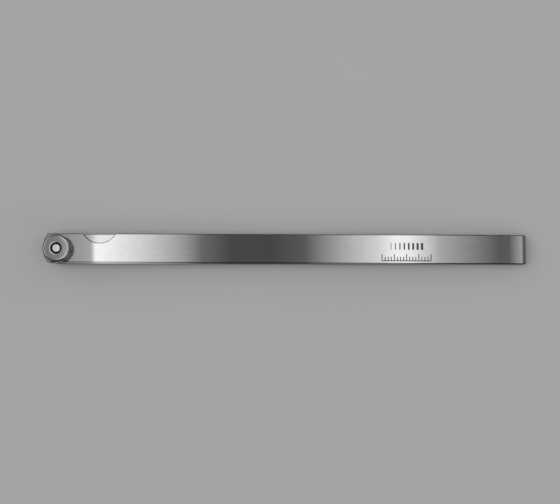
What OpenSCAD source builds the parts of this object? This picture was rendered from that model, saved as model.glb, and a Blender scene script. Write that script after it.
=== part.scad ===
// Feeler gauge: a fan of thickness leaves on one pivot screw, in a folded sheet case.
// Millimetres. The origin is on the pivot axis, in the plane of the screw head's underside.
// +X runs along the case to its closed end, +Y is the thumb notch side and +Z points
// through the stack to the knurled nut.

/* [Case] */
// Width of the case strip
case_w = 12.7; // [10:0.1:16]
// Distance from the pivot axis to the outside of the closed end
case_front = 206.5; // [201:0.5:260]
// Distance from the pivot axis to the tip of the rounded open end
case_rear = 7; // [6.8:0.1:9]
// Sideways offset of the case from the pivot axis, towards the thumb notch
case_shift = 0.5; // [0:0.1:1]
// Radius of the rounded open end
case_rear_r = 10.6; // [9:0.1:16]
// Thickness of the sheet that the case is folded from
sheet_t = 0.8; // [0.5:0.1:1.2]
// Radius of the slight shoulder before the fold
shoulder_r = 28; // [20:1:40]
// Angle that the sheet turns through along the shoulder
shoulder_a = 10; // [5:1:14]
// Distance from the pivot axis to the middle of the thumb notch
notch_x = 17.9; // [16:0.1:30]
// Radius of the thumb notch
notch_r = 8; // [6:0.5:10]
// Depth of the thumb notch into the long edge
notch_depth = 4.1; // [2:0.1:5]

/* [Leaves] */
// Overall length of each leaf
leaf_l = 200; // [150:1:200]
// Width of each leaf
leaf_w = 13; // [9:0.1:13.4]
// Gap between neighbouring leaves when the nut is loose
leaf_gap = 0.01; // [0.01:0.01:0.03]

/* [Pivot screw] */
// Diameter of the plain shank
shank_d = 4; // [3.6:0.1:4]
// Radial clearance of every hole on the shank
pivot_clearance = 0.05; // [0.02:0.01:0.1]
// Diameter of the low head under the case
head_d = 8.5; // [7:0.5:10]
// Height of the low head
head_h = 1.3; // [1:0.1:2]
// Width of the screwdriver slot
slot_w = 1; // [0.8:0.1:1.2]
// Depth of the screwdriver slot
slot_depth = 0.7; // [0.4:0.1:0.8]
// Thread pitch
thread_pitch = 0.7; // [0.5:0.1:0.8]
// Depth of the thread
thread_depth = 0.4; // [0.2:0.05:0.45]
// Diameter of the flat end of the screw
tip_d = 3.2; // [2.4:0.1:3.2]
// Distance that the screw's end stands below the top of the nut
tip_inset = 0.35; // [0:0.05:1]

/* [Nut and washer] */
// Diameter of the nut over its knurl
nut_d = 12; // [10:0.5:14]
// Height of the nut
nut_h = 5; // [4:0.5:6]
// Number of knurl teeth
knurl_teeth = 44; // [24:2:60]
// Depth of the knurl
knurl_depth = 0.2; // [0.1:0.05:0.4]
// Diameter of the washer
washer_d = 9; // [8:0.5:10]
// Thickness of the washer
washer_t = 0.8; // [0.5:0.1:1.2]

/* [Hidden] */
$fn = 96;

// Leaf thicknesses from the top of the stack down: the stiffest leaf lies on top and
// guards the thin ones, which follow in rising order.
THICKNESSES = concat([1.00], [for (i = [2:10]) i / 100], [0.15, 0.20, 0.25, 0.30, 0.40, 0.50, 0.75]);
LAST = len(THICKNESSES) - 1;

function sum_to(i) = i < 0 ? 0 : THICKNESSES[i] + sum_to(i - 1);
function two_digits(n) = n < 10 ? str("0", n) : str(n);
function leaf_name(t) = str("leaf_", floor(t), "_", two_digits(round(t * 100) % 100));

// Heights
stack_h = sum_to(LAST) + (LAST + 2) * leaf_gap;
case_h = stack_h + 2 * sheet_t;
case_z = head_h;
case_top = case_z + case_h;
case_mid = case_z + case_h / 2;
nut_z = case_top + washer_t;
nut_top = nut_z + nut_h;
screw_top = nut_top - tip_inset;

// Fold: the arcs of the shoulder and of the bend meet on one normal
bend_r = (case_h / 2 - shoulder_r * (1 - cos(shoulder_a))) / cos(shoulder_a);
bend_x = case_front - bend_r;
shoulder_x = bend_x - (shoulder_r - bend_r) * sin(shoulder_a);
shoulder_steps = 6;
bend_steps = 32;
fold_lap = 2;

// Pivot
shank_r = shank_d / 2;
bore_r = shank_r + pivot_clearance;
crest_r = shank_r - pivot_clearance;
root_r = crest_r - thread_depth;
crest_flat = thread_pitch / 8;
flank_h = (thread_pitch - crest_flat) / 2;
tip_chamfer = crest_r - tip_d / 2;
thread_end = screw_top - tip_chamfer - flank_h;
turns = floor((thread_end - case_top) / thread_pitch);
thread_z = thread_end - turns * thread_pitch;
head_chamfer = 0.2;

// Leaves: at rest they lean a little, so that their tips lie on the middle line of the case
straight = leaf_l - leaf_w;
leaf_rest = asin(case_shift / straight);

// Nut
nut_r = nut_d / 2;
mouth_r = bore_r + 0.5;
mouth_depth = 0.5;
land_r = mouth_r + 0.7;
rim_r = nut_r - 0.65;
rim_drop = 0.05;
edge_drop = 0.65;
edge_slope = (edge_drop - rim_drop) / (nut_r - rim_r);
foot_chamfer = 0.3;
blank_extra = 0.2;

// Outline of one cover on its own middle line, seen from above: a strip with a rounded open end
module cover_outline() {
    arc_x = case_rear_r - case_rear;
    translate([arc_x, -case_w / 2]) square([shoulder_x - arc_x, case_w]);
    intersection() {
        translate([arc_x, 0]) circle(case_rear_r);
        translate([-case_rear, -case_w / 2]) square([arc_x + case_rear, case_w]);
    }
}

// One flat cover with its pivot hole and thumb notch
module cover() {
    linear_extrude(sheet_t) difference() {
        translate([0, case_shift]) cover_outline();
        circle(bore_r);
        translate([notch_x, case_shift + case_w / 2 - notch_depth + notch_r]) circle(notch_r);
    }
}

// Points of an arc, without its last one
function arc_points(centre, r, from, to, steps) = [
    for (i = [0:steps - 1], a = from + (to - from) * i / steps) centre + r * [cos(a), sin(a)]
];

// One face of the folded sheet in side view, from the upper cover round to the lower one.
// inset is the depth below the outer face.
function fold_path(inset) =
    let (
        face = case_h / 2 - inset,
        arc_z = case_h / 2 - shoulder_r,
        arc_r = shoulder_r - inset,
        a = 90 - shoulder_a
    )
    concat(
        [[shoulder_x - fold_lap, face]],
        arc_points([shoulder_x, arc_z], arc_r, 90, a, shoulder_steps),
        arc_points([bend_x, 0], bend_r - inset, a, -a, bend_steps),
        arc_points([shoulder_x, -arc_z], arc_r, -a, -90, shoulder_steps),
        [[shoulder_x, -face], [shoulder_x - fold_lap, -face]]
    );

function reversed(points) = [for (i = [len(points) - 1:-1:0]) points[i]];

// Closed end of the case: both shoulders and the bend between them
module fold() {
    translate([0, case_shift + case_w / 2, 0]) rotate([90, 0, 0]) linear_extrude(case_w)
        polygon(concat(fold_path(0), reversed(fold_path(sheet_t))));
}

module case() {
    color("silver") translate([0, 0, case_mid]) {
        translate([0, 0, case_h / 2 - sheet_t]) cover();
        translate([0, 0, -case_h / 2]) cover();
        fold();
    }
}

// Leaf number i from the top of the stack: parallel sides, round tip, round eye
module leaf(i) {
    z = case_top - sheet_t - sum_to(i) - (i + 1) * leaf_gap;
    color("lightsteelblue") translate([0, 0, z]) rotate([0, 0, leaf_rest])
        linear_extrude(THICKNESSES[i]) difference() {
            union() {
                circle(leaf_w / 2);
                translate([0, -leaf_w / 2]) square([straight, leaf_w]);
                translate([straight, 0]) circle(leaf_w / 2);
            }
            circle(bore_r);
        }
}

// One plain ring of the thread, from its lower root to its crest
function ring(z) = [
    [root_r, z],
    [crest_r, z + flank_h],
    [crest_r, z + flank_h + crest_flat]
];

// Half section of the screw; the thread is a row of plain rings
module screw_section() {
    polygon(concat(
        [[0, 0], [head_d / 2 - head_chamfer, 0], [head_d / 2, head_chamfer], [head_d / 2, head_h]],
        [[shank_r, head_h], [shank_r, thread_z]],
        [for (i = [0:turns - 1], p = ring(thread_z + i * thread_pitch)) p],
        [[root_r, thread_end], [crest_r, thread_end + flank_h], [tip_d / 2, screw_top], [0, screw_top]]
    ));
}

module pivot_screw() {
    color("gainsboro") difference() {
        rotate_extrude() screw_section();
        translate([-head_d, -slot_w / 2, -1]) cube([2 * head_d, slot_w, slot_depth + 1]);
    }
}

module washer() {
    color("darkgray") translate([0, 0, case_top]) difference() {
        cylinder(h = washer_t, d = washer_d);
        translate([0, 0, -1]) cylinder(h = washer_t + 2, r = bore_r);
    }
}

// Outline of the straight knurl, seen from above
module knurl_outline() {
    step = 360 / knurl_teeth;
    polygon([for (i = [0:knurl_teeth - 1], half = [0, 1])
        (nut_r - half * knurl_depth) * [cos((i + half / 2) * step), sin((i + half / 2) * step)]]);
}

// Half section of the nut's blank, with its countersunk mouth, flat land and sloping face.
// The blank is a little wider than the knurl, which trims it.
module nut_section() {
    polygon([
        [bore_r, 0],
        [nut_r - foot_chamfer, 0],
        [nut_r + blank_extra, foot_chamfer + blank_extra],
        [nut_r + blank_extra, nut_h - edge_drop - edge_slope * blank_extra],
        [rim_r, nut_h - rim_drop],
        [land_r, nut_h],
        [mouth_r, nut_h],
        [bore_r, nut_h - mouth_depth]
    ]);
}

module knurled_nut() {
    color("silver") translate([0, 0, nut_z]) intersection() {
        rotate_extrude() nut_section();
        linear_extrude(nut_h) knurl_outline();
    }
}

case();
pivot_screw();
washer();
knurled_nut();
for (i = [0:LAST]) leaf(i);
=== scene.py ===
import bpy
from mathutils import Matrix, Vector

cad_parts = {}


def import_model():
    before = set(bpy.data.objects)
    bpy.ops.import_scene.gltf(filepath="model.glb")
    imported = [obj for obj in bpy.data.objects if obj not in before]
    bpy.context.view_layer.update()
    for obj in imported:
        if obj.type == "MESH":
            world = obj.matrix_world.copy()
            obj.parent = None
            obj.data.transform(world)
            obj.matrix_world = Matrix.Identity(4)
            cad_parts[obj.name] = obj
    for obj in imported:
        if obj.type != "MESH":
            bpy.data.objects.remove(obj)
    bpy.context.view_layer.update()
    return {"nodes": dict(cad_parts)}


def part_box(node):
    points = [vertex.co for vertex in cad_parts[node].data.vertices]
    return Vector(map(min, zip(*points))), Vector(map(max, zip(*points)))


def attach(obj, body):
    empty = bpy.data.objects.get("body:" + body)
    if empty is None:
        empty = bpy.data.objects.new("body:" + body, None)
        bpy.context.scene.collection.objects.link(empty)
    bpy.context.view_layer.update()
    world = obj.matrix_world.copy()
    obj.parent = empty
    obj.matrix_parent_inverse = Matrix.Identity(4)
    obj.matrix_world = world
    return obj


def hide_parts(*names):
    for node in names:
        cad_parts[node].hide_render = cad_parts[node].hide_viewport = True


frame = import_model()

import math

import bmesh
import bpy
from mathutils import Matrix, Vector

# ---------------------------------------------------------------- driving sizes, in millimetres
MM = 0.001

SHEET = 0.8              # thickness of the case sheet
SHEET_EDGE = 0.27        # rounding of the case's edges
REAR_R = 10.6            # radius of the case's rounded open end
SHOULDER_R = 33.0        # slight curve of each cover before the fold
SHOULDER_ANGLE = math.radians(10)
NOTCH_X = 17.9           # thumb notch: place along the case, radius and depth
NOTCH_R = 8.0
NOTCH_DEPTH = 4.1
BORE_R = 2.05            # every hole on the pivot screw

MARK_X = 153.4           # middle of the marking on the upper cover

LEAF_L = 200.0
LEAF_W = 13.0
FIGURES_X = 34.0         # place and height of the thickness etched on each leaf
FIGURES_SIZE = 4.2

SHANK_R = 2.0            # pivot screw: plain shank, thread and end
CREST_R = 1.95
ROOT_R = 1.55
TIP_R = 1.6
TIP_DOME = 0.06
THREAD_PITCH = 0.7
HEAD_CHAMFER = 0.2
SLOT_W = 1.0
SLOT_DEPTH = 0.7

KNURL_TEETH = 44
KNURL_DEPTH = 0.2
GROOVE_SHARE = 0.5       # part of each knurl pitch that the groove takes


def mm_box(node):
    """Lowest and highest corner of a CAD node, in millimetres."""
    lo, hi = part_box(node)
    return lo / MM, hi / MM


LEAVES = sorted(n for n in frame["nodes"] if n.startswith("leaf_"))
CASE_LO, CASE_HI = mm_box("case")
NUT_LO, NUT_HI = mm_box("knurled_nut")
SCREW_HI = mm_box("pivot_screw")[1]
WASHER_LO, WASHER_HI = mm_box("washer")
CASE_W = CASE_HI.y - CASE_LO.y
CASE_MIDDLE = (CASE_LO.y + CASE_HI.y) / 2
CASE_TOP = CASE_HI.z


# ---------------------------------------------------------------- materials
class Nodes:
    """A material's or world's node tree, with short ways to add nodes and join them."""

    def __init__(self, tree):
        self.tree = tree
        tree.nodes.clear()

    def add(self, kind, inputs=None, **settings):
        """A new node. inputs fills sockets by name, each with a value or a link."""
        node = self.tree.nodes.new(kind)
        for key, value in settings.items():
            setattr(node, key, value)
        for name, value in (inputs or {}).items():
            self.feed(node.inputs[name], value)
        return node

    def feed(self, socket, value):
        if isinstance(value, bpy.types.NodeSocket):
            self.tree.links.new(value, socket)
        else:
            socket.default_value = value

    def math(self, operation, *values):
        node = self.add("ShaderNodeMath", operation=operation)
        for socket, value in zip(node.inputs, values):
            self.feed(socket, value)
        return node.outputs[0]

    def vector(self, operation, *values):
        node = self.add("ShaderNodeVectorMath", operation=operation)
        for socket, value in zip(node.inputs, values):
            self.feed(socket, value)
        return node.outputs[0]

    def scaled(self, vector, factor):
        node = self.add("ShaderNodeVectorMath", operation="SCALE")
        self.feed(node.inputs[0], vector)
        self.feed(node.inputs["Scale"], factor)
        return node.outputs[0]

    def ramp(self, value, low, high, at_low, at_high):
        """A straight change from at_low to at_high while value goes from low to high."""
        node = self.add("ShaderNodeMapRange", inputs={
            "Value": value, "From Min": low, "From Max": high, "To Min": at_low, "To Max": at_high})
        return node.outputs[0]

    def noise(self, vector, detail):
        node = self.add("ShaderNodeTexNoise", inputs={
            "Vector": vector, "Scale": 1.0, "Detail": detail, "Roughness": 0.5})
        return node.outputs["Fac"]

    def mix(self, factor, a, b):
        node = self.add("ShaderNodeMix", data_type="RGBA", inputs={"Factor": factor, "A": a, "B": b})
        return node.outputs["Result"]

    def between(self, a, b, share):
        """A number that is a where share is 0 and b where it is 1."""
        return self.math("ADD", a, self.math("MULTIPLY", share, self.math("SUBTRACT", b, a)))

    def swing(self, value, amount):
        """Turns a value of 0 to 1 into one of -amount to amount."""
        return self.math("MULTIPLY", self.math("SUBTRACT", value, 0.5), 2 * amount)


def grey(level):
    return (level, level, level)


def tinted(colour, factor=1.0):
    """A colour times a factor, with full opacity."""
    return (*(min(1.0, channel * factor) for channel in colour), 1.0)


def steel(name, colour=grey(0.60), turned=False, painted_shade_span=None, roughness=0.025,
          fine=0.10, coarse=0.05, along=0.03, fine_per_mm=22.0, coarse_per_mm=2.5):
    """Brushed or turned steel. The UV map named flow holds millimetres along and across the marks.

    The marks run along X, or round the Z axis on turned pieces. They tilt the normal across
    their own direction, by up to fine and coarse, so reflections stay sharp along the marks and
    are drawn out across them. along is how often the marks change along their length, per mm.
    The shade span, a stretch along the marks, is painted darker: painted shade standing in for the dark
    reflection round the fold.
    """
    blotches_per_mm = 0.35
    # the last share is the painted shade round the fold
    darkest, lightest, painted_shade_share = 0.86, 1.10, 0.28      # shares of the base colour
    painted_shade_ramp = 0.3                                   # length over which the painted shade stretch begins
    stain = 0.02                                      # change of roughness over the blotches

    material = bpy.data.materials.new(name)
    material.use_nodes = True
    n = Nodes(material.node_tree)
    flow = n.add("ShaderNodeUVMap", uv_map="flow").outputs["UV"]
    parts = n.add("ShaderNodeSeparateXYZ", inputs={"Vector": flow}).outputs
    lengthways, across = parts["X"], parts["Y"]

    def streaks(per_mm, seed, detail):
        point = n.add("ShaderNodeCombineXYZ", inputs={
            "X": n.math("MULTIPLY", lengthways, along),
            "Y": n.math("MULTIPLY", across, per_mm),
            "Z": seed})
        return n.noise(point.outputs[0], detail)

    fine_marks = streaks(fine_per_mm, seed=3.7, detail=3.0)
    coarse_marks = streaks(coarse_per_mm, seed=9.1, detail=2.0)
    blotches = n.noise(n.scaled(flow, blotches_per_mm), detail=3.0)

    normal = n.add("ShaderNodeNewGeometry").outputs["Normal"]
    if turned:
        tangent = n.add("ShaderNodeTangent", direction_type="RADIAL", axis="Z").outputs[0]
        sideways = n.vector("CROSS_PRODUCT", normal, tangent)
    else:
        sideways = n.add("ShaderNodeVectorTransform", vector_type="VECTOR", convert_from="OBJECT",
                         convert_to="WORLD", inputs={"Vector": (0, 1, 0)}).outputs[0]
    tilt = n.math("ADD", n.swing(fine_marks, fine), n.swing(coarse_marks, coarse))
    tilted = n.vector("NORMALIZE", n.vector("ADD", normal, n.scaled(sideways, tilt)))

    shade = n.math("ADD", n.math("MULTIPLY", coarse_marks, 0.5), n.math("MULTIPLY", blotches, 0.5))
    base = n.mix(shade, tinted(colour, darkest), tinted(colour, lightest))
    # painted shade: the base colour is darkened over the span, standing in for the dark reflection of
    # the shadowed floor round the fold
    if painted_shade_span:
        low, high = painted_shade_span
        in_painted_shade = n.math("MULTIPLY", n.ramp(lengthways, low, low + painted_shade_ramp, 0.0, 1.0),
                        n.ramp(lengthways, high - painted_shade_ramp, high, 1.0, 0.0))
        base = n.mix(in_painted_shade, base, tinted(colour, painted_shade_share))
    rough = n.math("ADD", roughness - stain / 2, n.math("MULTIPLY", blotches, stain))
    shader = n.add("ShaderNodeBsdfPrincipled", inputs={
        "Base Color": base, "Metallic": 1.0, "Roughness": rough, "Normal": tilted})
    n.add("ShaderNodeOutputMaterial", inputs={"Surface": shader.outputs["BSDF"]})
    return material


def etched(name, colour=(0.085, 0.085, 0.09)):
    """The dark, matt surface that a laser leaves on steel."""
    grain_per_m, lightest = 9000.0, 2.2
    material = bpy.data.materials.new(name)
    material.use_nodes = True
    n = Nodes(material.node_tree)
    place = n.add("ShaderNodeTexCoord").outputs["Object"]
    grain = n.noise(n.scaled(place, grain_per_m), detail=2.0)
    shader = n.add("ShaderNodeBsdfPrincipled", inputs={
        "Base Color": n.mix(grain, tinted(colour), tinted(colour, lightest)),
        "Metallic": 0.35, "Roughness": 0.62})
    n.add("ShaderNodeOutputMaterial", inputs={"Surface": shader.outputs["BSDF"]})
    return material


def paper(name, colour=grey(0.81)):
    """Matt studio floor with a very faint mottle."""
    mottle_per_m, darkest = 18.0, 0.97
    material = bpy.data.materials.new(name)
    material.use_nodes = True
    n = Nodes(material.node_tree)
    place = n.add("ShaderNodeTexCoord").outputs["Object"]
    mottle = n.noise(n.scaled(place, mottle_per_m), detail=3.0)
    shader = n.add("ShaderNodeBsdfPrincipled", inputs={
        "Base Color": n.mix(mottle, tinted(colour, darkest), tinted(colour)),
        "Roughness": 0.9, "Specular IOR Level": 0.1})
    n.add("ShaderNodeOutputMaterial", inputs={"Surface": shader.outputs["BSDF"]})
    return material


# ---------------------------------------------------------------- mesh building
def finish_piece(bm, name, materials, body, nodes=(), crease=12):
    """Turns a bmesh in millimetres into a named piece that rides on its CAD body.

    Edges that turn by more than crease degrees are shaded sharp.
    """
    bmesh.ops.recalc_face_normals(bm, faces=bm.faces)
    bmesh.ops.scale(bm, vec=(MM, MM, MM), verts=bm.verts)
    mesh = bpy.data.meshes.new(name)
    bm.to_mesh(mesh)
    bm.free()
    for material in materials:
        mesh.materials.append(material)
    mesh.shade_smooth()
    mesh.set_sharp_from_angle(angle=math.radians(crease))
    piece = bpy.data.objects.new(name, mesh)
    bpy.context.scene.collection.objects.link(piece)
    shading = piece.modifiers.new("flat_faces_stay_flat", "WEIGHTED_NORMAL")
    shading.mode = "FACE_AREA"
    shading.keep_sharp = True
    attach(piece, body)
    if nodes:
        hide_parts(*nodes)
    return piece


def arc(centre, radius, start, end, steps):
    """Points along an arc in the plane, both ends included; angles in radians."""
    return [Vector((centre[0] + radius * math.cos(start + (end - start) * i / steps),
                    centre[1] + radius * math.sin(start + (end - start) * i / steps)))
            for i in range(steps + 1)]


def circle(radius, steps, clockwise=False):
    turn = -2 * math.pi if clockwise else 2 * math.pi
    return arc((0, 0), radius, 0, turn, steps)[:-1]


def inset(loop, distance):
    """The loop moved into the material, which lies on the left of its direction of travel."""
    out = []
    for i, point in enumerate(loop):
        before = (point - loop[i - 1]).normalized()
        after = (loop[(i + 1) % len(loop)] - point).normalized()
        left = Vector((-before.y - after.y, before.x + after.x))
        left /= left.length_squared / 2
        out.append(point + left * distance)
    return out


def plate(outer, holes, z_low, z_high, edge, steps=3):
    """A flat plate with holes. Its rounded edges take the second material, its cut walls the third.

    outer runs anticlockwise and each hole clockwise.
    """
    section = []
    for i in range(steps + 1):
        turn = math.pi / 2 * i / steps
        section.append((edge * (1 - math.sin(turn)), z_low + edge * (1 - math.cos(turn))))
    section += [(depth, z_high + z_low - z) for depth, z in reversed(section)]
    bm = bmesh.new()
    caps = {0: [], len(section) - 1: []}
    for loop in [outer, *holes]:
        rings = [[bm.verts.new((p.x, p.y, z)) for p in inset(loop, depth)] for depth, z in section]
        for level, (low, high) in enumerate(zip(rings, rings[1:])):
            for i in range(len(loop)):
                j = (i + 1) % len(loop)
                wall = bm.faces.new((low[i], low[j], high[j], high[i]))
                wall.material_index = 2 if level == steps else 1
        for level in caps:
            ring = rings[level]
            caps[level] += [bm.edges.get((ring[i - 1], ring[i])) for i in range(len(ring))]
    for edges in caps.values():
        bmesh.ops.triangle_fill(bm, use_beauty=True, use_dissolve=False, edges=edges)
    return bm


def filleted(corners, steps=3):
    """A section of (r, z) points from corners (r, z, fillet); a fillet of 0 keeps its corner."""
    out = []
    for i, (r, z, fillet) in enumerate(corners):
        here = Vector((r, z))
        if fillet == 0:
            out.append((r, z))
            continue
        before = (Vector(corners[i - 1][:2]) - here).normalized()
        after = (Vector(corners[(i + 1) % len(corners)][:2]) - here).normalized()
        half_angle = before.angle(after) / 2
        centre = here + (before + after).normalized() * fillet / math.sin(half_angle)
        first = here + before * fillet / math.tan(half_angle) - centre
        last = here + after * fillet / math.tan(half_angle) - centre
        turn = first.angle_signed(last)
        for k in range(steps + 1):
            point = first.copy()
            point.rotate(Matrix.Rotation(-turn * k / steps, 2))
            out.append(tuple(centre + point))
    return out


def lathe(section, segments, radius=None):
    """Turns a section of (r, z) points about Z. radius(angle, r, z) may change each point's radius.

    The flow UV map runs round the axis and along the section. A point on the axis closes
    the surface.
    """
    bm = bmesh.new()
    flow = bm.loops.layers.uv.new("flow")
    lengths = [0.0]
    for (r0, z0), (r1, z1) in zip(section, section[1:]):
        lengths.append(lengths[-1] + math.hypot(r1 - r0, z1 - z0))
    rings = []
    for r, z in section:
        if r == 0:
            rings.append([bm.verts.new((0, 0, z))] * segments)
            continue
        ring = []
        for i in range(segments):
            angle = 2 * math.pi * i / segments
            here = radius(angle, r, z) if radius else r
            ring.append(bm.verts.new((here * math.cos(angle), here * math.sin(angle), z)))
        rings.append(ring)
    pairs = list(zip(range(len(rings)), range(1, len(rings))))
    if section[0][0] > 0:
        pairs.append((len(rings) - 1, 0))
    for a, b in pairs:
        for i in range(segments):
            j = (i + 1) % segments
            corners = [(rings[a][i], i, a), (rings[a][j], i + 1, a),
                       (rings[b][j], i + 1, b), (rings[b][i], i, b)]
            kept = []
            for corner in corners:
                if corner[0] not in [k[0] for k in kept]:
                    kept.append(corner)
            face = bm.faces.new([k[0] for k in kept])
            for loop, (_, turn, level) in zip(face.loops, kept):
                r = max(section[level][0], 0.5)
                loop[flow].uv = (2 * math.pi * turn / segments * r, lengths[level])
    return bm


def flat_flow(bm):
    """Fills the flow UV map of a flat plate: along X and across Y, in millimetres."""
    flow = bm.loops.layers.uv.new("flow")
    for face in bm.faces:
        for loop in face.loops:
            loop[flow].uv = loop.vert.co.xy


# ---------------------------------------------------------------- case
def case_path():
    """The sheet's outer face in side view, from the upper cover round the fold to the lower.

    Lengths run along the sheet from the upper pivot hole. Returns the length at which the
    upper shoulder starts, the lengths of the shoulder and of the bend, and a function that
    turns a length into (x, z, direction angle).
    """
    half = (CASE_HI.z - CASE_LO.z) / 2
    middle = CASE_LO.z + half
    bend_r = (half - SHOULDER_R * (1 - math.cos(SHOULDER_ANGLE))) / math.cos(SHOULDER_ANGLE)
    bend_x = CASE_HI.x - bend_r
    start = bend_x - (SHOULDER_R - bend_r) * math.sin(SHOULDER_ANGLE)
    shoulder = SHOULDER_R * SHOULDER_ANGLE
    bend = bend_r * (math.pi - 2 * SHOULDER_ANGLE)

    def place(s):
        if s > start + shoulder + bend / 2:
            x, z, angle = place(2 * start + 2 * shoulder + bend - s)
            return x, 2 * middle - z, math.pi - angle
        if s <= start:
            return s, middle + half, 0.0
        if s <= start + shoulder:
            angle = (s - start) / SHOULDER_R
            return (start + SHOULDER_R * math.sin(angle),
                    middle + half - SHOULDER_R * (1 - math.cos(angle)), angle)
        angle = SHOULDER_ANGLE + (s - start - shoulder) / bend_r
        return bend_x + bend_r * math.sin(angle), middle + bend_r * math.cos(angle), angle

    return start, shoulder, bend, place


def case_strip(materials):
    """One strip of sheet, cut to shape in the flat and then folded."""
    start, shoulder, bend, place = case_path()
    fold_middle = start + shoulder + bend / 2
    half_w = CASE_W / 2
    arc_x = REAR_R + CASE_LO.x
    corner = math.asin(half_w / REAR_R)
    notch_y = half_w - NOTCH_DEPTH + NOTCH_R
    notch_angle = math.asin((notch_y - half_w) / NOTCH_R)

    rear = arc((arc_x, 0), REAR_R, math.pi - corner, math.pi + corner, 32)
    notch = arc((NOTCH_X, notch_y), NOTCH_R, -notch_angle, notch_angle - math.pi, 56)
    half = [p + Vector((0, CASE_MIDDLE)) for p in notch + rear]
    outer = half + [Vector((2 * fold_middle - p.x, p.y)) for p in reversed(half)]
    hole = circle(BORE_R, 64, clockwise=True)
    far_hole = [p + Vector((2 * fold_middle, 0)) for p in hole]
    bm = plate(outer, [hole, far_hole], 0, SHEET, SHEET_EDGE)

    shoulder_cuts, bend_cuts = 8, 40
    cuts = [start + shoulder * i / shoulder_cuts for i in range(shoulder_cuts + 1)]
    cuts += [2 * fold_middle - s for s in cuts]
    cuts += [start + shoulder + bend * i / bend_cuts for i in range(1, bend_cuts)]
    for s in cuts:
        bmesh.ops.bisect_plane(bm, geom=bm.verts[:] + bm.edges[:] + bm.faces[:],
                               plane_co=(s, 0, 0), plane_no=(1, 0, 0), dist=1e-5)
    flat_flow(bm)
    for vert in bm.verts:
        x, z, angle = place(vert.co.x)
        depth = vert.co.z
        vert.co = (x - depth * math.sin(angle), vert.co.y, z - depth * math.cos(angle))
    finish_piece(bm, "case_strip", materials, "case", ["case"])


def box_faces(bm, x0, x1, y0, y1, z0, z1):
    """Adds the six faces of a box."""
    outline = ((x0, y0), (x1, y0), (x1, y1), (x0, y1))
    corners = [bm.verts.new((x, y, z)) for z in (z0, z1) for x, y in outline]
    a, b, c, d, e, f, g, h = corners
    for quad in ((d, c, b, a), (e, f, g, h), (a, b, f, e), (b, c, g, f), (c, d, h, g), (d, a, e, h)):
        bm.faces.new(quad)


def case_marking(material):
    """A generic mark: bars that grow thicker above a row of ticks on a base line."""
    bm = bmesh.new()
    low, high = CASE_TOP - 0.002, CASE_TOP + 0.006

    bars, bar_pitch, bar_length, bar_y = 8, 1.95, 3.0, CASE_MIDDLE - 0.3
    thinnest, growth = 0.30, 0.11
    for i in range(bars):
        x = MARK_X + (i - (bars - 1) / 2) * bar_pitch
        half = (thinnest + growth * i) / 2
        box_faces(bm, x - half, x + half, bar_y, bar_y + bar_length, low, high)

    ticks, span, line, base_y = 17, 21.6, 0.4, CASE_MIDDLE - 5.2
    long_tick, short_tick, long_every = 3.0, 1.8, 4
    for i in range(ticks):
        x = MARK_X + span * (i / (ticks - 1) - 0.5)
        length = short_tick if i % long_every else long_tick
        box_faces(bm, x - line / 2, x + line / 2, base_y, base_y + length, low, high)
    box_faces(bm, MARK_X - span / 2, MARK_X + span / 2,
              base_y - line / 2, base_y + line / 2, low, high)
    finish_piece(bm, "case_marking", [material], "case")


# ---------------------------------------------------------------- leaves
def leaf(node, metals, ink):
    """One thickness leaf, rounded at both ends, with its thickness etched beside the eye."""
    lo, hi = mm_box(node)
    thickness = hi.z - lo.z
    straight = LEAF_L - LEAF_W
    lean = math.asin(CASE_MIDDLE / straight)
    outer = arc((straight, 0), LEAF_W / 2, -math.pi / 2, math.pi / 2, 40)
    outer += arc((0, 0), LEAF_W / 2, math.pi / 2, 3 * math.pi / 2, 40)
    eye = circle(BORE_R, 48, clockwise=True)
    bm = plate(outer, [eye], lo.z, hi.z, min(0.15, thickness / 5))
    flat_flow(bm)
    bmesh.ops.rotate(bm, matrix=Matrix.Rotation(lean, 3, "Z"), verts=bm.verts)
    finish_piece(bm, node + "_blade", metals, node, [node])

    text = bpy.data.curves.new(node + "_size", "FONT")
    text.body = f"{thickness:.2f}"
    text.size = FIGURES_SIZE * MM
    text.align_x = "CENTER"
    text.align_y = "CENTER"
    text.resolution_u = 3
    text.extrude = 0.0015 * MM
    text.materials.append(ink)
    figures = bpy.data.objects.new(node + "_size", text)
    figures.location = (FIGURES_X * MM, 0, (hi.z + 0.001) * MM)
    bpy.context.scene.collection.objects.link(figures)
    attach(figures, node)


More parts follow.
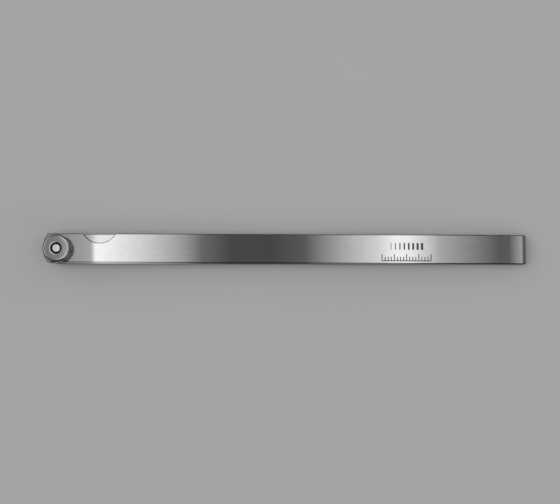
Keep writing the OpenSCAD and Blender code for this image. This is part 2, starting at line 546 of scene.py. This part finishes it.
# ---------------------------------------------------------------- pivot
def pivot_screw(metal, thread_painted_shade_metal):
    """Low slotted head, plain shank and a right-hand thread up to a chamfered end."""
    head_r = SCREW_HI.x
    head_h = CASE_LO.z
    top = SCREW_HI.z
    runout = 0.35
    thread_low = CASE_TOP + 0.3
    shank_top = thread_low - runout
    flank = 2.3              # slope of the thread's flanks, which leaves a narrow flat crest

    def threaded(angle, r, z):
        if z < shank_top or z > top - 1e-6:
            return r
        phase = (z / THREAD_PITCH - angle / (2 * math.pi)) % 1.0
        rise = min(1.0, flank * (0.5 - abs(phase - 0.5)))
        thread_r = ROOT_R + (CREST_R - ROOT_R) * rise
        if z < thread_low:
            return SHANK_R + (thread_r - SHANK_R) * (z - shank_top) / runout
        return min(thread_r, TIP_R + top - z)

    section = filleted([(0, 0, 0), (head_r - HEAD_CHAMFER, 0, 0.06), (head_r, HEAD_CHAMFER, 0.06),
                        (head_r, head_h, 0.08), (SHANK_R, head_h, 0)])
    steps, dome = 110, 8
    section += [(SHANK_R, shank_top + (top - shank_top) * i / steps) for i in range(steps)]
    section += [(TIP_R * (1 - i / dome), top - TIP_DOME * (1 - i / dome) ** 2) for i in range(dome + 1)]
    bm = lathe(section, 72, threaded)
    # the thread takes a dark copy of the screw's steel: painted shade in the thread
    for face in bm.faces:
        centre = face.calc_center_median()
        if centre.z > shank_top and centre.xy.length > TIP_R - 0.02:
            face.material_index = 1
    piece = finish_piece(bm, "pivot_screw_body", [metal, thread_painted_shade_metal], "case", ["pivot_screw"],
                         crease=35)
    cut_slot(piece, head_r)


def cut_slot(piece, head_r):
    """Cuts the screwdriver slot across the underside of the screw's head."""
    bm = bmesh.new()
    box_faces(bm, -head_r - 1, head_r + 1, -SLOT_W / 2, SLOT_W / 2, -1, SLOT_DEPTH)
    bmesh.ops.scale(bm, vec=(MM, MM, MM), verts=bm.verts)
    mesh = bpy.data.meshes.new("slot_cutter")
    bm.to_mesh(mesh)
    bm.free()
    cutter = bpy.data.objects.new("slot_cutter", mesh)
    bpy.context.scene.collection.objects.link(cutter)

    # the cut is applied on its own, so the piece's shading modifier is off meanwhile
    cut = piece.modifiers.new("slot", "BOOLEAN")
    cut.operation = "DIFFERENCE"
    cut.solver = "EXACT"
    cut.object = cutter
    shading = piece.modifiers["flat_faces_stay_flat"]
    shading.show_viewport = False
    graph = bpy.context.evaluated_depsgraph_get()
    slotted = bpy.data.meshes.new_from_object(piece.evaluated_get(graph))
    piece.modifiers.remove(cut)
    shading.show_viewport = True
    piece.data = slotted
    bpy.data.objects.remove(cutter)


def washer(metal):
    """Plain stamped washer under the nut."""
    r, low, high, soft = WASHER_HI.x, WASHER_LO.z, WASHER_HI.z, 0.12
    section = filleted([(BORE_R, low, soft), (r, low, soft), (r, high, soft), (BORE_R, high, soft)])
    bm = lathe(section, 96)
    finish_piece(bm, "washer_disc", [metal], "washer", ["washer"], crease=35)


def knurled_nut(face_metal, rim_painted_shade_metal, hollow_painted_shade_metal):
    """Clamp nut: straight knurl under a chamfer, a flat turned face and a countersunk mouth."""
    r, low, high = NUT_HI.x, NUT_LO.z, NUT_HI.z
    foot, mouth, land = 0.3, 0.5, 0.7         # foot chamfer, countersink and the flat land round it
    chamfer, drop, dome = 0.65, 0.54, 0.01    # width and height of the top chamfer, rise of the face
    land_r = BORE_R + mouth + land
    rim_r = r - chamfer
    wall_low, wall_high = low + foot, high - drop

    def knurled(angle, radius, z):
        tooth = (angle * KNURL_TEETH / (2 * math.pi)) % 1.0
        return min(radius, r - KNURL_DEPTH * max(0.0, 1 - abs(2 * tooth - 1) / GROOVE_SHARE))

    wall_steps, chamfer_steps, face_steps = 4, 6, 8
    outside = [(BORE_R, low, 0), (r - foot, low, 0), (r - foot / 2, low + foot / 2, 0), (r, wall_low, 0)]
    outside += [(r, wall_low + (wall_high - wall_low) * i / wall_steps, 0)
                for i in range(1, wall_steps + 1)]
    outside += [(r - chamfer * i / chamfer_steps, high - drop * (1 - i / chamfer_steps), 0)
                for i in range(1, chamfer_steps)]
    outside += [(rim_r, high - dome, 0.2)]
    face = [(rim_r + (land_r - rim_r) * i / face_steps, high - dome * (1 - i / face_steps) ** 2, 0)
            for i in range(2, face_steps + 1)]
    section = filleted(outside + face + [(BORE_R + mouth, high, 0.04), (BORE_R, high - mouth, 0)])
    bm = lathe(section, KNURL_TEETH * 8, knurled)

    # painted shade: the countersunk mouth, the knurl's grooves and the outer half of the top chamfer
    # take a near-black colour for the shade in the hollows and the dark ring round the nut
    for quad in bm.faces:
        centre = quad.calc_center_median()
        reach = centre.xy.length
        in_groove = wall_low < centre.z < wall_high and reach < r - KNURL_DEPTH / 5
        outer_chamfer = wall_high < centre.z < high - drop / 2
        if reach < BORE_R + mouth or in_groove or outer_chamfer:
            quad.material_index = 2
        # the side and foot below the chamfer take the painted shade of the knurled side
        elif centre.z < wall_high:
            quad.material_index = 1
    finish_piece(bm, "knurled_nut_body", [face_metal, rim_painted_shade_metal, hollow_painted_shade_metal], "knurled_nut",
                 ["knurled_nut"], crease=35)


# ---------------------------------------------------------------- stage
CAMERA_HEIGHT = 480.0      # above the upper cover
CAMERA_X = 97.6
AIM_Y = -1.0
TILT = math.radians(4.0)
ROLL = math.radians(0.22)
FOCAL = 70.0
FLOOR_HALF = 3.0           # metres
FLOOR_DROP = 1e-5          # metres, which keeps the floor clear of the screw head


def camera():
    """Looks down from the photo's side, with the gauge level across the picture."""
    data = bpy.data.cameras.new("camera")
    data.lens = FOCAL
    data.sensor_width = 36
    data.clip_start, data.clip_end = 0.01, 20
    cam = bpy.data.objects.new("camera", data)
    bpy.context.scene.collection.objects.link(cam)
    aim = Vector((CAMERA_X, AIM_Y, CASE_TOP)) * MM
    back = Vector((0, -math.sin(TILT), math.cos(TILT)))
    cam.location = aim + back * CAMERA_HEIGHT * MM
    cam.rotation_euler = (Matrix.Rotation(TILT, 3, "X") @ Matrix.Rotation(ROLL, 3, "Z")).to_euler()
    bpy.context.scene.camera = cam


def floor(material):
    """A wide matt sheet that touches the screw head and the far end of the case."""
    head_edge = SCREW_HI.x - HEAD_CHAMFER
    start = case_path()[0]
    slope = math.atan2(CASE_LO.z, start - head_edge)
    bm = bmesh.new()
    bmesh.ops.create_grid(bm, x_segments=2, y_segments=2, size=FLOOR_HALF)
    mesh = bpy.data.meshes.new("floor")
    bm.to_mesh(mesh)
    bm.free()
    mesh.materials.append(material)
    sheet = bpy.data.objects.new("floor", mesh)
    sheet.rotation_euler = (0, -slope, 0)
    sheet.location = (head_edge * MM, 0, -FLOOR_DROP)
    bpy.context.scene.collection.objects.link(sheet)


# Brightness of the ceiling above the gauge, by angle in degrees from straight up towards +X.
# A panel with a crisp outer edge hangs on the left and a soft one on the right, either side
# of the dark opening that the camera looks through.
CEILING = [(-90, 0.25), (-48, 1.15), (-22, 1.30), (-14, 0.22), (-11.5, 0.39), (-9.80, 0.62),
           (-9.65, 1.60), (-5.0, 0.51), (-4.1, 0.22), (-2.6, 0.105), (-0.5, 0.10), (1.3, 0.16),
           (5.2, 1.06), (6.0, 1.46), (6.8, 1.38), (8.4, 0.62), (11.4, 0.155), (14, 0.22),
           (32, 0.54), (42, 0.40), (52, 0.25), (64, 0.50), (74, 0.85), (90, 0.50)]
UPPER_WALL = 0.17          # brightness of the walls in front and behind, high up
END_WALL = 0.30            # the same low down, straight ahead
CORNER_WALL = 0.85         # and low down, towards the corners
BACKDROP = 0.40            # what the camera itself sees past the floor


def world():
    """A studio that only reflections and light can see. Its limits are parts of the direction."""
    studio = bpy.data.worlds.new("studio")
    studio.use_nodes = True
    bpy.context.scene.world = studio
    n = Nodes(studio.node_tree)
    direction = n.add("ShaderNodeTexCoord").outputs["Generated"]
    parts = n.add("ShaderNodeSeparateXYZ", inputs={"Vector": direction}).outputs
    x, y, z = parts["X"], parts["Y"], parts["Z"]

    ceiling = CEILING[0][1]
    for (low, at_low), (high, at_high) in zip(CEILING, CEILING[1:]):
        change = n.ramp(x, math.sin(math.radians(low)), math.sin(math.radians(high)),
                        0.0, at_high - at_low)
        ceiling = n.math("ADD", ceiling, change)

    # the panels end towards the front and the back, where dimmer walls show
    off_middle = n.math("ABSOLUTE", y)
    reach = n.ramp(off_middle, 0.27, 0.45, 1.0, 0.0)
    low_wall = n.ramp(off_middle, 0.70, 0.85, CORNER_WALL, END_WALL)
    wall = n.between(UPPER_WALL, low_wall, n.ramp(z, 0.45, 0.65, 1.0, 0.0))

    # a dark doorway low in the front wall, to the left, which the nut's chamfer reflects
    height = n.math("SUBTRACT", z, n.math("MULTIPLY", x, 0.12))
    doorway = n.ramp(y, -0.50, -0.35, 1.0, 0.0)
    for limit in (n.ramp(x, 0.30, 0.50, 1.0, 0.0),
                  n.ramp(height, 0.09, 0.13, 0.0, 1.0),
                  n.ramp(z, 0.35, 0.50, 1.0, 0.0)):
        doorway = n.math("MULTIPLY", doorway, limit)
    walls = n.between(wall, 0.0, doorway)

    level = n.between(walls, ceiling, reach)
    seen = n.add("ShaderNodeLightPath").outputs["Is Camera Ray"]
    glow = n.add("ShaderNodeBackground", inputs={
        "Color": tinted(grey(1.0)), "Strength": n.between(level, BACKDROP, seen)})
    n.add("ShaderNodeOutputWorld", inputs={"Surface": glow.outputs[0]})


# ---------------------------------------------------------------- build
shoulder_start, shoulder_length, bend_length, _ = case_path()
bend_start = shoulder_start + shoulder_length
# the painted shade covers the bend but for a small margin at each end
painted_shade_margin = 0.03 * bend_length
case_metal = steel("case_brushed_steel",
                   painted_shade_span=(bend_start + painted_shade_margin, bend_start + bend_length - painted_shade_margin))
# near-black colour on the rounded edges of the case and the leaves: painted shade for the dark outline
# along their sides
edge_painted_shade_metal = steel("edge_painted_shade", colour=grey(0.02), roughness=0.30, fine=0.04)
cut_metal = steel("cut_edge_steel", colour=grey(0.50), roughness=0.28, fine=0.06)
leaf_metal = steel("leaf_ground_steel", colour=grey(0.56), roughness=0.045, fine=0.08, coarse=0.03)
face_metal = steel("nut_turned_face", colour=grey(0.46), turned=True, roughness=0.09,
                   fine=0.05, coarse=0.03, along=0.0, fine_per_mm=14.0, coarse_per_mm=3.0)
# the knurled side and foot get a darker copy of the nut's steel: painted shade on the nut's side
rim_painted_shade_metal = steel("nut_knurled_rim_painted_shade", colour=grey(0.22), turned=True, roughness=0.22, fine=0.05)
# near-black painted shade for the nut's hollows and the dark ring on its chamfer
hollow_painted_shade_metal = steel("nut_hollows_painted_shade", colour=grey(0.035), roughness=0.30, fine=0.04)
screw_metal = steel("screw_bright_steel", colour=grey(0.90), turned=True, roughness=0.20,
                    fine=0.05, along=0.0)
# dark copy of the screw's steel for the thread: painted shade
thread_painted_shade_metal = steel("thread_painted_shade", colour=grey(0.12), roughness=0.30, fine=0.04)
washer_metal = steel("washer_stamped_steel", colour=grey(0.42), turned=True, roughness=0.34, fine=0.03)
ink = etched("laser_etching")

case_strip([case_metal, edge_painted_shade_metal, cut_metal])
case_marking(ink)
for name in LEAVES:
    leaf(name, [leaf_metal, edge_painted_shade_metal, cut_metal], ink)
pivot_screw(screw_metal, thread_painted_shade_metal)
washer(washer_metal)
knurled_nut(face_metal, rim_painted_shade_metal, hollow_painted_shade_metal)
floor(paper("studio_floor"))
camera()
world()
bpy.context.scene.view_settings.view_transform = "Standard"
